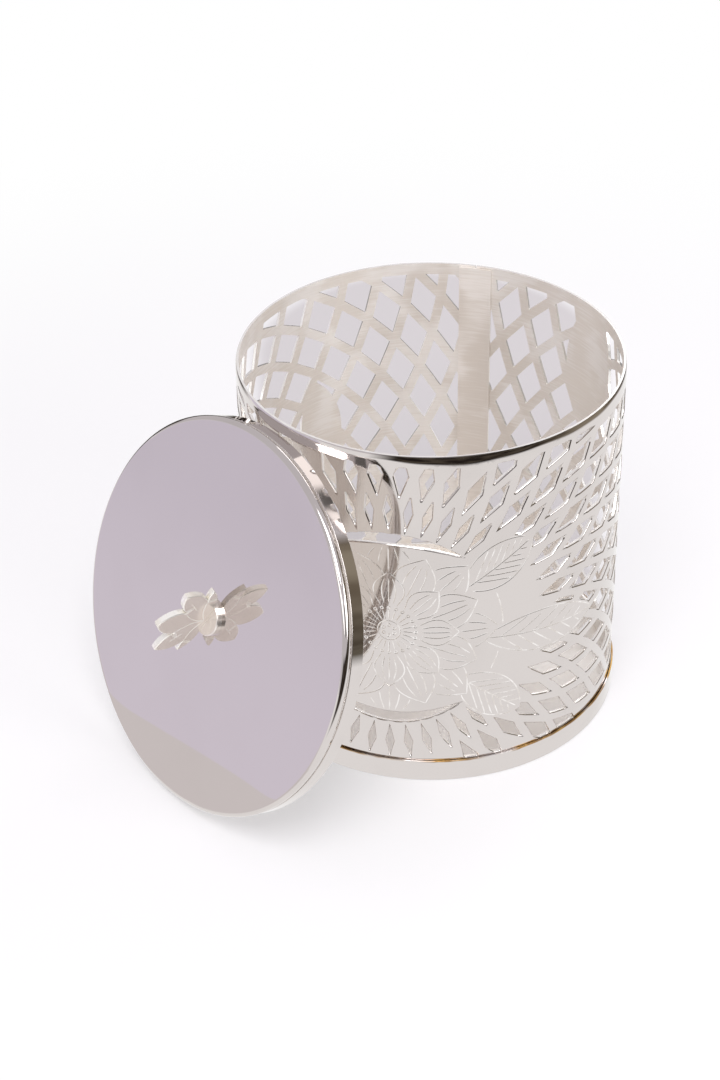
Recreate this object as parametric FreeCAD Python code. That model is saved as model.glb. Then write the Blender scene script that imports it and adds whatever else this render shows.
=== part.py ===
import FreeCAD, Part
import math
import os

# A round pierced metal box with its loose lid taken off and leaning against the wall.
# Lengths are in millimetres and angles in degrees.
# The box stands on the floor with its axis on Z, and the lid leans toward -X.
# An azimuth of 0 faces -Y, and azimuths grow toward +X, to the right as seen from outside.

# Wall: one pierced sheet rolled into a tube with a butt seam
wall_outer_radius = 58.0
wall_sheet = 1.0
box_height = 115.0
seam_azimuth = 125.2
seam_gap = 0.3

# Strap soldered inside, over the butt seam
strap_width = 10.4
strap_sheet = 0.8
strap_top_inset = 0.6

# Base: a flat plate with a band round it
base_plate_thickness = 1.0
base_band_height = 7.2
base_band_sheet = 0.6
solder_gap = 0.1

# Lattice of diamonds that radiates from the flower roundel
motif_azimuth = -52.3
motif_height = 55.0
ray_count = 46
first_ring_radius = 41.5
near_ring_step = 12.3
far_ring_step = 5.4
lattice_strap = 3.0
plain_top_band = 3.8
lattice_foot_margin = 0.4
seam_margin = 2.5
smallest_cell_area = 6.0
smallest_cell_width = 1.5
first_ring_spread = 42.0

# Two crescent slots inside the roundel's circle, above and below the flower
crescent_radius = 33.8
crescent_depth = 3.6
crescent_half_turn = 40.0

# Blank leaves left standing in the lattice, a fan on each side of the flower and one further round each way
leaf_root_radius = 26.0
leaf_reaches = (52.0, 71.0, 52.0)
leaf_turns = (56.0, 97.0, 129.0)
leaf_half_width = 8.0
back_leaf_across = (133.0, -131.0)
back_leaf_heights = (94.0, 62.0)
back_leaf_lengths = (50.0, 36.0)
back_leaf_half_widths = (12.0, 8.0)
back_leaf_leans = (-7.0, 7.0)

# Lid: a flat disc in a half-round edge bead, with a skirt that goes over the wall
lid_disc_sheet = 1.0
lid_bead_diameter = 2.8
lid_bead_proud = 0.15
lid_skirt_sheet = 0.5
lid_clearance = 0.25
lid_depth = 7.1

# How the lid leans: its plane's angle from the upright, and the gap left at the wall
lid_lean = 19.1
lean_gap = 0.3

# Finial: a sawn lotus plate on a round collar, whose stud goes through the lid to a nut
lotus_height = 18.0
lotus_half_width = 13.0
lotus_thickness = 2.0
lotus_turn = -22.0
collar_radius = 5.5
collar_height = 1.8
collar_round = 0.6
stud_radius = 1.5
stud_hole_clearance = 0.1
washer_radius = 3.6
washer_thickness = 0.6
nut_across_flats = 5.5
nut_height = 2.4
stud_beyond_nut = 0.5

# Right half of the lotus outline from the top tip down, as shares of its half width and height
lotus_across_shares = (0.0, 0.34, 0.885, 0.685, 1.0, 0.32)
lotus_up_shares = (1.0, 0.55, 0.735, 0.235, 0.23, 0.0)
lotus_bulge_shares = (0.16, 0.14, 0.16, 0.10, 0.14)

# How far every cutter runs past the face it cuts
cut_overrun = 1.0

# Sizes that follow from the ones above
wall_inner_radius = wall_outer_radius - wall_sheet
base_band_inner_radius = wall_outer_radius + solder_gap
base_band_outer_radius = base_band_inner_radius + base_band_sheet
base_plate_radius = base_band_inner_radius - solder_gap
strap_outer_radius = wall_inner_radius - solder_gap
strap_inner_radius = strap_outer_radius - strap_sheet
lid_skirt_inner_radius = wall_outer_radius + lid_clearance
lid_skirt_outer_radius = lid_skirt_inner_radius + lid_skirt_sheet
lid_bead_radius = lid_bead_diameter / 2
lid_radius = lid_skirt_outer_radius + lid_bead_proud
lid_disc_radius = lid_radius - lid_bead_radius
lattice_top = box_height - plain_top_band
lattice_bottom = base_band_height + lattice_foot_margin
half_turn_reach = math.pi * wall_outer_radius
seam_right = wall_outer_radius * math.radians(seam_azimuth - motif_azimuth)
seam_left = seam_right - 2 * half_turn_reach
cutter_inner_radius = wall_inner_radius - cut_overrun
cutter_depth = wall_sheet + 2 * cut_overrun

UP = FreeCAD.Vector(0, 0, 1)
ORIGIN = FreeCAD.Vector(0, 0, 0)


def outward(azimuth):
    """Unit vector that points out of the wall at an azimuth."""
    angle = math.radians(azimuth)
    return FreeCAD.Vector(math.sin(angle), -math.cos(angle), 0)


def rightward(azimuth):
    """Unit vector along the wall at an azimuth, to the right as seen from outside."""
    angle = math.radians(azimuth)
    return FreeCAD.Vector(math.cos(angle), math.sin(angle), 0)


def ring(outer_radius, inner_radius, bottom, height):
    """Upright tube between two radii."""
    foot = FreeCAD.Vector(0, 0, bottom)
    outer = Part.makeCylinder(outer_radius, height, foot)
    return outer.cut(Part.makeCylinder(inner_radius, height, foot))


def arc_sector(outer_radius, inner_radius, bottom, height, first_azimuth, sweep):
    """Part of a tube, from one azimuth round through a sweep."""
    foot = FreeCAD.Vector(0, 0, bottom)
    outer = Part.makeCylinder(outer_radius, height, foot, UP, sweep)
    sector = outer.cut(Part.makeCylinder(inner_radius, height, foot))
    # A sector starts on +X, which is the azimuth of a quarter turn.
    sector.rotate(ORIGIN, UP, first_azimuth - 90)
    return sector


def turned(points_and_arcs):
    """Solid of revolution about Z from a closed profile of edges in the XZ plane."""
    face = Part.Face(Part.Wire(points_and_arcs))
    return face.revolve(ORIGIN, UP, 360)


def from_motif(distance, turn):
    """Place on the flat sheet at a distance from the roundel's centre and a turn from straight up."""
    angle = math.radians(turn)
    return (distance * math.sin(angle), motif_height + distance * math.cos(angle))


def ring_step(radius):
    """Distance to the next ring of crossings: the rings draw closer as they leave the roundel."""
    gone = (radius - first_ring_radius) / (half_turn_reach - first_ring_radius)
    return near_ring_step + (far_ring_step - near_ring_step) * min(1.0, max(0.0, gone))


def ring_radii():
    """Radii of the rings on which the lattice's straps cross."""
    radii = [first_ring_radius - near_ring_step, first_ring_radius]
    while radii[-1] < math.hypot(half_turn_reach, box_height):
        radii.append(radii[-1] + ring_step(radii[-1]))
    return radii


def area_of(polygon):
    """Signed area of a polygon, positive when it runs anticlockwise."""
    total = 0
    for (x0, y0), (x1, y1) in zip(polygon, polygon[1:] + polygon[:1]):
        total += x0 * y1 - x1 * y0
    return total / 2


def drawn_in(polygon, distance):
    """A convex anticlockwise polygon with every edge moved in by a distance, or none if it closes up."""
    lines = []
    for (x0, y0), (x1, y1) in zip(polygon, polygon[1:] + polygon[:1]):
        length = math.hypot(x1 - x0, y1 - y0)
        nx, ny = (y0 - y1) / length, (x1 - x0) / length
        lines.append((nx, ny, nx * x0 + ny * y0 + distance))
    corners = []
    for (a, b, c), (d, e, f) in zip(lines[-1:] + lines[:-1], lines):
        det = a * e - b * d
        corners.append(((c * e - b * f) / det, (a * f - c * d) / det))
    inside = all(nx * x + ny * y >= c - distance / 2 for nx, ny, c in lines for x, y in corners)
    return corners if inside and area_of(corners) > 0 else None


def clipped(polygon, axis, limit, keep):
    """The part of a polygon where its axis value is above (keep 1) or below (keep -1) a limit."""
    kept = []
    for start, end in zip(polygon, polygon[1:] + polygon[:1]):
        start_in = keep * (start[axis] - limit) >= 0
        end_in = keep * (end[axis] - limit) >= 0
        if start_in:
            kept.append(start)
        if start_in != end_in:
            way = (limit - start[axis]) / (end[axis] - start[axis])
            kept.append(tuple(p + (q - p) * way for p, q in zip(start, end)))
    return kept


def trimmed_to_sheet(polygon):
    """A cell's outline trimmed straight at the plain bands and beside the seam."""
    limits = (
        (0, seam_left + seam_margin, 1),
        (0, seam_right - seam_margin, -1),
        (1, lattice_bottom, 1),
        (1, lattice_top, -1),
    )
    for axis, limit, keep in limits:
        polygon = clipped(polygon, axis, limit, keep)
        if len(polygon) < 3:
            return None
    return polygon


def wide_enough(polygon):
    """True where an outline is worth cutting: neither tiny nor a sliver."""
    spans = [max(values) - min(values) for values in zip(*polygon)]
    return area_of(polygon) > smallest_cell_area and min(spans) > smallest_cell_width


def lattice_cells():
    """Outlines of the diamond openings on the flat sheet, each drawn in by half a strap."""
    radii = ring_radii()
    half_pitch = 180 / ray_count
    cells = []
    for row in range(1, len(radii) - 1):
        for ray in range(ray_count):
            turn = (2 * ray + (row - 1) % 2) * half_pitch
            from_upright = abs((turn + 90) % 180 - 90)
            if row == 1 and from_upright > first_ring_spread:
                continue
            rhombus = [
                from_motif(radii[row + 1], turn),
                from_motif(radii[row], turn - half_pitch),
                from_motif(radii[row - 1], turn),
                from_motif(radii[row], turn + half_pitch),
            ]
            opening = drawn_in(rhombus, lattice_strap / 2)
            opening = opening and trimmed_to_sheet(opening)
            if opening and wide_enough(opening):
                cells.append(opening)
    return cells


def place_on_wall(across, height, centre_across, radius):
    """Point of a cutter's inner face, in the plane square to the wall at centre_across."""
    azimuth = motif_azimuth + math.degrees(centre_across / wall_outer_radius)
    foot = outward(azimuth) * radius
    return foot + rightward(azimuth) * (across - centre_across) + UP * height


def pushed_through(edges, centre_across, depth):
    """Cutter made of a closed outline pushed square through the wall."""
    azimuth = motif_azimuth + math.degrees(centre_across / wall_outer_radius)
    return Part.Face(Part.Wire(edges)).extrude(outward(azimuth) * depth)


def cell_cutter(polygon):
    """Cutter for one diamond."""
    centre = sum(across for across, height in polygon) / len(polygon)
    corners = [place_on_wall(across, height, centre, cutter_inner_radius) for across, height in polygon]
    edges = [Part.makeLine(a, b) for a, b in zip(corners, corners[1:] + corners[:1])]
    return pushed_through(edges, centre, cutter_depth)


def lens_cutter(root, tip, half_width, other_half_width):
    """Cutter bounded by two arcs from root to tip, with half widths to its two sides."""
    centre = [(a + b) / 2 for a, b in zip(root, tip)]
    run = [b - a for a, b in zip(root, tip)]
    length = math.hypot(*run)
    side = (-run[1] / length, run[0] / length)
    # A long cutter starts deeper, because the wall curves away behind its ends.
    half_reach = length / 2 + max(abs(half_width), abs(other_half_width))
    inner_radius = wall_inner_radius * math.cos(half_reach / wall_outer_radius) - cut_overrun
    depth = wall_outer_radius + 2 * cut_overrun - inner_radius
    ends = [place_on_wall(*point, centre[0], inner_radius) for point in (root, tip)]
    edges = []
    for width in (half_width, -other_half_width):
        middle = [c + s * width for c, s in zip(centre, side)]
        top = place_on_wall(*middle, centre[0], inner_radius)
        edges.append(Part.Arc(ends[0], top, ends[1]).toShape())
    return pushed_through(edges, centre[0], depth)


def leaf_outlines():
    """Root, tip and half width of every blank leaf on the flat sheet."""
    leaves = []
    for side in (1, -1):
        for reach, turn in zip(leaf_reaches, leaf_turns):
            root, tip = from_motif(leaf_root_radius, side * turn), from_motif(reach, side * turn)
            leaves.append((root, tip, leaf_half_width))
    for across, height, length, half_width, lean in zip(
        back_leaf_across, back_leaf_heights, back_leaf_lengths, back_leaf_half_widths, back_leaf_leans
    ):
        half_run = length / 2 * math.sin(math.radians(lean))
        half_rise = length / 2 * math.cos(math.radians(lean))
        root, tip = (across - half_run, height - half_rise), (across + half_run, height + half_rise)
        leaves.append((root, tip, half_width))
    return leaves


def crescent_cutters():
    """The two slots between the roundel's circle and the flower."""
    cutters = []
    chord_height = crescent_radius * math.cos(math.radians(crescent_half_turn))
    for middle_turn in (0, 180):
        left = from_motif(crescent_radius, middle_turn - crescent_half_turn)
        right = from_motif(crescent_radius, middle_turn + crescent_half_turn)
        outer_rise = crescent_radius - chord_height
        inner_rise = outer_rise - crescent_depth
        cutters.append(lens_cutter(left, right, outer_rise, -inner_rise))
    return cutters


def wall_cutters():
    """Everything that is pierced through the wall, with the leaves kept whole."""
    leaves = [lens_cutter(root, tip, width, width) for root, tip, width in leaf_outlines()]
    smallest = smallest_cell_area * cutter_depth
    cutters = crescent_cutters()
    for outline in lattice_cells():
        cutter = cell_cutter(outline)
        over = [leaf for leaf in leaves if leaf.BoundBox.intersect(cutter.BoundBox)]
        left_over = cutter.cut(over) if over else cutter
        cutters += [solid for solid in left_over.Solids if solid.Volume > smallest]
    return cutters


def wall_panel():
    """The rolled sheet, open by a hairline at the seam, with its lattice and crescents cut out."""
    gap_angle = math.degrees(seam_gap / wall_outer_radius)
    sheet = arc_sector(
        wall_outer_radius,
        wall_inner_radius,
        base_plate_thickness,
        box_height - base_plate_thickness,
        seam_azimuth + gap_angle / 2,
        360 - gap_angle,
    )
    cutters = wall_cutters()
    print("openings in the wall:", len(cutters))
    return sheet.cut(Part.makeCompound(cutters))


def seam_strap():
    """Curved strap that backs the butt seam from inside."""
    sweep = math.degrees(strap_width / strap_outer_radius)
    height = box_height - strap_top_inset - base_plate_thickness
    first = seam_azimuth - sweep / 2
    return arc_sector(strap_outer_radius, strap_inner_radius, base_plate_thickness, height, first, sweep)


def base_plate():
    """Flat floor of the box; the wall stands on it."""
    return Part.makeCylinder(base_plate_radius, base_plate_thickness)


def base_band():
    """Plain band round the foot of the wall."""
    return ring(base_band_outer_radius, base_band_inner_radius, 0, base_band_height)


def lid_disc():
    """Flat mirror disc, drilled for the finial's stud. The lid's own frame has its face at Z 0."""
    disc = Part.makeCylinder(lid_disc_radius, lid_disc_sheet, FreeCAD.Vector(0, 0, -lid_disc_sheet))
    hole_radius = stud_radius + stud_hole_clearance
    foot = FreeCAD.Vector(0, 0, -lid_disc_sheet - cut_overrun)
    return disc.cut(Part.makeCylinder(hole_radius, lid_disc_sheet + 2 * cut_overrun, foot))


def lid_bead():
    """Half-round edge ring, rebated so that the disc sits in it."""
    inner = lid_disc_radius - lid_bead_radius
    corners = [
        FreeCAD.Vector(lid_disc_radius, 0, -lid_bead_diameter),
        FreeCAD.Vector(inner, 0, -lid_bead_diameter),
        FreeCAD.Vector(inner, 0, -lid_disc_sheet),
        FreeCAD.Vector(lid_disc_radius, 0, -lid_disc_sheet),
        FreeCAD.Vector(lid_disc_radius, 0, 0),
    ]
    edges = [Part.makeLine(a, b) for a, b in zip(corners, corners[1:])]
    outermost = FreeCAD.Vector(lid_radius, 0, -lid_bead_radius)
    edges.append(Part.Arc(corners[-1], outermost, corners[0]).toShape())
    return turned(edges)


def lid_skirt():
    """Band under the bead that goes over the outside of the wall."""
    height = lid_depth - lid_bead_diameter
    return ring(lid_skirt_outer_radius, lid_skirt_inner_radius, -lid_depth, height)


def lotus_outline():
    """Edges of the lotus: arcs from tip to notch down each side, closed by the straight foot."""
    right = []
    for across_share, up_share in zip(lotus_across_shares, lotus_up_shares):
        across = lotus_half_width * across_share
        right.append(FreeCAD.Vector(across, 0, collar_height + lotus_height * up_share))
    edges = []
    for side in (1, -1):
        points = [FreeCAD.Vector(side * p.x, p.y, p.z) for p in right]
        for a, b, bulge in zip(points, points[1:], lotus_bulge_shares):
            run = b - a
            out = FreeCAD.Vector(-run.z, 0, run.x) * side
            edges.append(Part.Arc(a, (a + b) / 2 + out * bulge, b).toShape())
    foot = right[-1]
    edges.append(Part.makeLine(foot, FreeCAD.Vector(-foot.x, foot.y, foot.z)))
    return Part.Wire(Part.__sortEdges__(edges))


def finial_lotus():
    """Sawn lotus plate that stands square on the lid."""
    face = Part.Face(lotus_outline())
    face.translate(FreeCAD.Vector(0, -lotus_thickness / 2, 0))
    plate = face.extrude(FreeCAD.Vector(0, lotus_thickness, 0))
    plate.rotate(ORIGIN, UP, lotus_turn)
    return plate


def finial_collar():
    """Round collar with a stud that goes down through the lid."""
    stud_length = lid_disc_sheet + washer_thickness + nut_height + stud_beyond_nut
    collar = Part.makeCylinder(collar_radius, collar_height)
    top_edges = [edge for edge in collar.Edges if edge.BoundBox.ZMin > collar_height / 2]
    collar = collar.makeFillet(collar_round, top_edges[:1])
    return collar.fuse(Part.makeCylinder(stud_radius, stud_length, ORIGIN, -UP)).removeSplitter()


def finial_washer():
    """Flat washer under the lid."""
    bottom = -lid_disc_sheet - washer_thickness
    return ring(washer_radius, stud_radius + stud_hole_clearance, bottom, washer_thickness)


def finial_nut():
    """Hexagon nut on the stud, against the washer."""
    bottom = -lid_disc_sheet - washer_thickness - nut_height
    corner_radius = nut_across_flats / math.sqrt(3)
    corners = []
    for corner in range(7):
        angle = math.radians(60 * corner)
        corners.append(FreeCAD.Vector(corner_radius * math.cos(angle), corner_radius * math.sin(angle), bottom))
    blank = Part.Face(Part.makePolygon(corners)).extrude(UP * nut_height)
    return blank.cut(Part.makeCylinder(stud_radius, nut_height, FreeCAD.Vector(0, 0, bottom)))


def lean_from_upright():
    """The lid's lean in radians: as set, or more where its upper edge would pass over the rim."""
    highest_touch = box_height - plain_top_band / 2
    rise_share = min(1.0, highest_touch / (2 * lid_skirt_outer_radius))
    return max(math.radians(lid_lean), math.acos(rise_share))


def leaning(shape):
    """A lid piece moved from the lid's own frame to where the lid leans on the wall."""
    lean = lean_from_upright()
    reach = lid_depth * math.cos(lean) + lid_skirt_outer_radius * math.sin(lean)
    height = lid_skirt_outer_radius * math.cos(lean) + lid_depth * math.sin(lean)
    centre = FreeCAD.Vector(-(wall_outer_radius + lean_gap + reach), 0, height)
    tilt = FreeCAD.Rotation(FreeCAD.Vector(0, 1, 0), math.degrees(lean) - 90)
    shape.Placement = FreeCAD.Placement(centre, tilt).multiply(shape.Placement)
    return shape


box_pieces = {
    "wall_panel": wall_panel,
    "seam_strap": seam_strap,
    "base_plate": base_plate,
    "base_band": base_band,
}
lid_pieces = {
    "lid_disc": lid_disc,
    "lid_bead": lid_bead,
    "lid_skirt": lid_skirt,
    "finial_collar": finial_collar,
    "finial_lotus": finial_lotus,
    "finial_washer": finial_washer,
    "finial_nut": finial_nut,
}

os.makedirs("parts", exist_ok=True)
for name, make in box_pieces.items():
    make().exportStep(os.path.join("parts", name + ".step"))
for name, make in lid_pieces.items():
    leaning(make()).exportStep(os.path.join("parts", name + ".step"))
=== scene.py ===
# %% [markdown]
# # A pierced silver box with its lid off
# The real thing is a round box of silver-plated brass. Its wall is one sheet, pierced with
# a lattice of diamonds, engraved with a lotus and rolled into a tube. A mirror-bright lid
# leans against it. The CAD part is the fixed frame, and this file dresses it.

# %% Load the frame and keep its box
import math
import bpy
import numpy as np
from mathutils import Matrix, Vector
from mathutils.geometry import delaunay_2d_cdt


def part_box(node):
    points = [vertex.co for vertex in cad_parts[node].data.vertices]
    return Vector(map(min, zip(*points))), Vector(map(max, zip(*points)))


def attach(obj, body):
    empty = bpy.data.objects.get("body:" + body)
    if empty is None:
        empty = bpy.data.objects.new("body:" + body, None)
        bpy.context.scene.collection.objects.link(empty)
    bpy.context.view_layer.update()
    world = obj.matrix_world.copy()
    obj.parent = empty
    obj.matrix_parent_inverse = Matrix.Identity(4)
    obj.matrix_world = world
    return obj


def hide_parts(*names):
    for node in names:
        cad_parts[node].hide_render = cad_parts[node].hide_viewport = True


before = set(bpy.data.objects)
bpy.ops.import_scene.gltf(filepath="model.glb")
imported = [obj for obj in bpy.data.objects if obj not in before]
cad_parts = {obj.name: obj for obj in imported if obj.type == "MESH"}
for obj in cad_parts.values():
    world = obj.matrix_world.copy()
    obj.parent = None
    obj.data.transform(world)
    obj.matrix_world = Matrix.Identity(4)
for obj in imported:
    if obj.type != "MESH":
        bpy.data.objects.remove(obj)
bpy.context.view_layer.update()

MM = 0.001
scene = bpy.context.scene
scene.view_settings.view_transform = "Standard"

# %% [markdown]
# ## The camera
# A product photograph is taken from a little way off with a long lens, so upright edges stay
# nearly parallel. The camera's place could be found by trial. Here it comes from the outlines
# of the rim, foot and lid, solved for the one place from which all three fit.

# %% Camera
image_height = 1080
focal_pixels = 2376.2
sensor = 36.0
camera_azimuth = math.radians(-38.427)
camera_elevation = math.radians(34.325)
camera_roll = math.radians(-0.9355)
camera_distance = 741.887
look_at = np.array([-17.15, 13.61, 48.43])

toward_camera = np.array([math.sin(camera_azimuth), -math.cos(camera_azimuth), 0.0])
level_right = np.array([math.cos(camera_azimuth), math.sin(camera_azimuth), 0.0])
skyward = np.array([0.0, 0.0, 1.0])
camera_back = math.cos(camera_elevation) * toward_camera + math.sin(camera_elevation) * skyward
level_up = np.cross(camera_back, level_right)
image_right = math.cos(camera_roll) * level_right + math.sin(camera_roll) * level_up
image_up = math.cos(camera_roll) * level_up - math.sin(camera_roll) * level_right

camera_data = bpy.data.cameras.new("camera")
camera_data.sensor_fit = "VERTICAL"
camera_data.sensor_height = sensor
camera_data.lens = focal_pixels / image_height * sensor
camera = bpy.data.objects.new("camera", camera_data)
scene.collection.objects.link(camera)
camera_turn = Matrix(np.stack([image_right, image_up, camera_back], axis=1).tolist())
camera_place = Vector((look_at + camera_distance * camera_back) * MM)
camera.matrix_world = Matrix.Translation(camera_place) @ camera_turn.to_4x4()
scene.camera = camera
print("lens", round(camera_data.lens, 2), "mm, camera at", [round(c, 3) for c in camera_place])

# %% [markdown]
# ## A small language for finishes
# Node trees are hard to read as lists of links. A Value wraps one socket, so that sums and
# products of Values add the Math nodes by themselves, and `1 - mask` works as on paper.

# %% Values
def sign(operation, swapped=False):
    """A method for one arithmetic sign; swapped puts the Value on the sign's right."""
    def method(self, other):
        return self.math(operation, *((other, self) if swapped else (self, other)))

    return method


class Value:
    """One socket of a shader graph; the arithmetic signs add Math nodes."""

    def __init__(self, graph, socket):
        self.graph, self.socket = graph, socket

    def other(self, name):
        """Another output of the same node."""
        return Value(self.graph, self.socket.node.outputs[name])

    def math(self, operation, first, second):
        return self.graph.node("ShaderNodeMath", {"operation": operation}, {0: first, 1: second})

    __add__ = __radd__ = sign("ADD")
    __mul__ = __rmul__ = sign("MULTIPLY")
    __sub__, __rsub__ = sign("SUBTRACT"), sign("SUBTRACT", swapped=True)
    __truediv__ = sign("DIVIDE")
    __pow__ = sign("POWER")
    larger = sign("MAXIMUM")

# %% Graphs
class Graph:
    """The node tree of one finish, the world or a stage surface."""

    def __init__(self, owner):
        owner.use_nodes = True
        self.tree = owner.node_tree
        self.tree.nodes.clear()

    def node(self, kind, settings=None, inputs=None, output=0):
        """Adds a node: its settings first, then the values or links of its sockets."""
        made = self.tree.nodes.new(kind)
        for name, value in (settings or {}).items():
            setattr(made, name, value)
        for name, value in (inputs or {}).items():
            if isinstance(value, Value):
                self.tree.links.new(value.socket, made.inputs[name])
            else:
                made.inputs[name].default_value = value
        return Value(self, made.outputs[output]) if made.outputs else None

    def blend(self, share, first, second):
        """Mix of two colours: the first where share is 0, the second where it is 1."""
        first, second = [c if isinstance(c, Value) else (*c, 1.0) for c in (first, second)]
        return self.node("ShaderNodeMix", {"data_type": "RGBA"}, {0: share, 6: first, 7: second}, 2)

    def ease(self, value, start, end):
        """0 below start, 1 above end, with a smooth step between them."""
        places = {"Value": value, "From Min": start, "From Max": end}
        return self.node("ShaderNodeMapRange", {"interpolation_type": "SMOOTHSTEP"}, places)

    def noise(self, place, scale, detail=2.0):
        """Soft random values about 0.5; scale is in spots per unit of place."""
        return self.node("ShaderNodeTexNoise", {}, {"Vector": place, "Scale": scale, "Detail": detail})

    def place(self):
        """Where a point is on the object, in metres, in the frame that all pieces share."""
        return self.node("ShaderNodeTexCoord", output="Object")

    def along(self, place, axis):
        """How far a place lies along an axis."""
        return self.node("ShaderNodeVectorMath", {"operation": "DOT_PRODUCT"}, {0: place, 1: axis}, "Value")

    def bump(self, height, depth):
        """Shading normal of a fine relief: height from 0 to 1, depth in metres."""
        return self.node("ShaderNodeBump", {}, {"Height": height, "Distance": depth})

    def stretched(self, place, scale):
        """Places scaled along each axis, so that noise on them turns into streaks."""
        return self.node("ShaderNodeMapping", {}, {"Vector": place, "Scale": scale})

    def attribute(self, name):
        """A value that the mesh carries at each point."""
        return self.node("ShaderNodeAttribute", {"attribute_name": name}, output="Fac")

    def glow(self, colour, strength=1.0):
        """A shader that shines by itself, so that the lamps don't change it."""
        return self.node("ShaderNodeEmission", {}, {"Color": colour, "Strength": strength})

    def mixed(self, share, first, second):
        """Mix of two shaders: the first where share is 0, the second where it is 1."""
        return self.node("ShaderNodeMixShader", {}, {0: share, 1: first, 2: second})

    def close(self, shader, output="ShaderNodeOutputMaterial"):
        """Joins the last shader to the output."""
        self.node(output, {}, {"Surface": shader})

    def surface(self, **inputs):
        """Closes the graph with a Principled shader."""
        named = {name.replace("_", " "): value for name, value in inputs.items()}
        self.close(self.node("ShaderNodeBsdfPrincipled", {}, named))


def new_finish(name):
    """A new material and its empty graph."""
    material = bpy.data.materials.new(name)
    print("finish:", name)
    return material, Graph(material)

# %% [markdown]
# ## Polished plate
# The outside was buffed to a mirror. A perfect mirror looks computed, so three things are
# added: broad waves of the hand-hammered sheet, faint clouds in the plating, and hairlines
# that make some streaks a little less glossy.

# %% Polished plate
silver = (0.70, 0.655, 0.635)
clouded_silver = (0.655, 0.61, 0.59)
clouds_per_metre, hairlines_per_metre, hairline_stretch = 45.0, 160.0, 30.0


def plated(g, place):
    """Clouds in the plating, and its colour under them."""
    clouds = g.ease(g.noise(place, clouds_per_metre, 3.0), 0.42, 0.72)
    return clouds, g.blend(clouds * 0.6, silver, clouded_silver)


def polished_plate(name, wave_size, wave_depth, gloss):
    """Mirror finish whose waves are wave_size metres apart and wave_depth metres high."""
    material, g = new_finish(name)
    place = g.place()
    clouds, colour = plated(g, place)
    streaks = g.stretched(place, (1.0, 1.0, hairline_stretch))
    hairlines = g.ease(g.noise(streaks, hairlines_per_metre), 0.5, 0.8)
    g.surface(
        Base_Color=colour,
        Metallic=1.0,
        Roughness=gloss + 0.05 * clouds + 0.05 * hairlines,
        Normal=g.bump(g.noise(place, 1 / wave_size, 1.0), wave_depth),
    )
    return material


wall_polish = polished_plate("wall_polish", 0.022, 0.00004, 0.05)
bead_polish = polished_plate("bead_polish", 0.009, 0.00002, 0.05)

# %% [markdown]
# ## Satin plate
# The inside was never buffed. It keeps the marks of the brush, which runs round the wall, so
# the pattern is drawn on the unrolled wall: distance round it and height, stretched into lines.
# Fine lines spread a highlight across themselves, which the anisotropic setting does at no cost.

# %% Satin plate
satin_silver = (0.875, 0.838, 0.803)
satin_shade = (0.772, 0.716, 0.66)
brush_length, brush_width, unrolled_radius = 0.010, 0.0006, 0.058


def satin_plate(name, light, shade):
    """Brushed finish; its lines are brush_length metres long and brush_width metres apart."""
    material, g = new_finish(name)
    place = g.place()
    x = g.node("ShaderNodeSeparateXYZ", {}, {0: place})
    y, z = x.other("Y"), x.other("Z")
    round_it = x.math("ARCTAN2", x, y) * unrolled_radius
    unrolled = g.node("ShaderNodeCombineXYZ", {}, {
        "X": round_it * (1 / brush_length), "Y": z * (1 / brush_width), "Z": (x * x + y * y) * 30.0})
    lines = g.noise(unrolled, 1.0, 3.0)
    patches = g.ease(g.noise(place, 55.0), 0.4, 0.65)
    tone = g.ease(lines * 0.7 + patches * 0.3, 0.3, 0.7)
    g.surface(
        Base_Color=g.blend(tone, shade, light),
        Metallic=0.5,
        Roughness=0.28 + 0.14 * patches + 0.10 * lines,
        Anisotropic=0.75,
        Anisotropic_Rotation=0.25,
        Normal=g.bump(lines, 0.00003),
    )
    return material


inside_satin = satin_plate("inside_satin", satin_silver, satin_shade)
# Strap and floor of the box wear lighter copies of the inside satin. The strap's extra lightness is a
# painted sheen for its brushed highlights; the floor's is painted light for the floor of the box, deep in
# the box's shade.
strap_satin_painted_sheen = satin_plate("strap_satin_painted_sheen", (0.91, 0.865, 0.825), (0.80, 0.74, 0.68))
floor_satin_painted_light = satin_plate("floor_satin_painted_light", (0.98, 0.965, 0.94), (0.93, 0.90, 0.86))

# %% [markdown]
# ## Cut edges, engraved lines and brass
# Cut edges are painted near white and half matt, a painted highlight beside what they really
# reflect; the graver leaves lines that hold a little shade, and bare brass shows where the plating
# is worn: on the fasteners and along the top of the foot band.
# shows where the plating is worn: on the fasteners and along the top of the foot band.

# %% Small finishes
brass = (0.56, 0.36, 0.13)
brass_shade = (0.30, 0.17, 0.06)


def worked_metal(name, first, second, spot, low_gloss, high_gloss, relief, bareness):
    """Metal mottled between two colours; spots are spot metres wide, and bareness below 1 mixes in a matt
    part.
    """
    material, g = new_finish(name)
    mottle = g.ease(g.noise(g.place(), 1 / spot, 3.0), 0.35, 0.65)
    g.surface(
        Base_Color=g.blend(mottle, first, second),
        Metallic=bareness,
        Roughness=low_gloss + (high_gloss - low_gloss) * mottle,
        Normal=g.bump(mottle, relief),
    )
    return material


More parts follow.
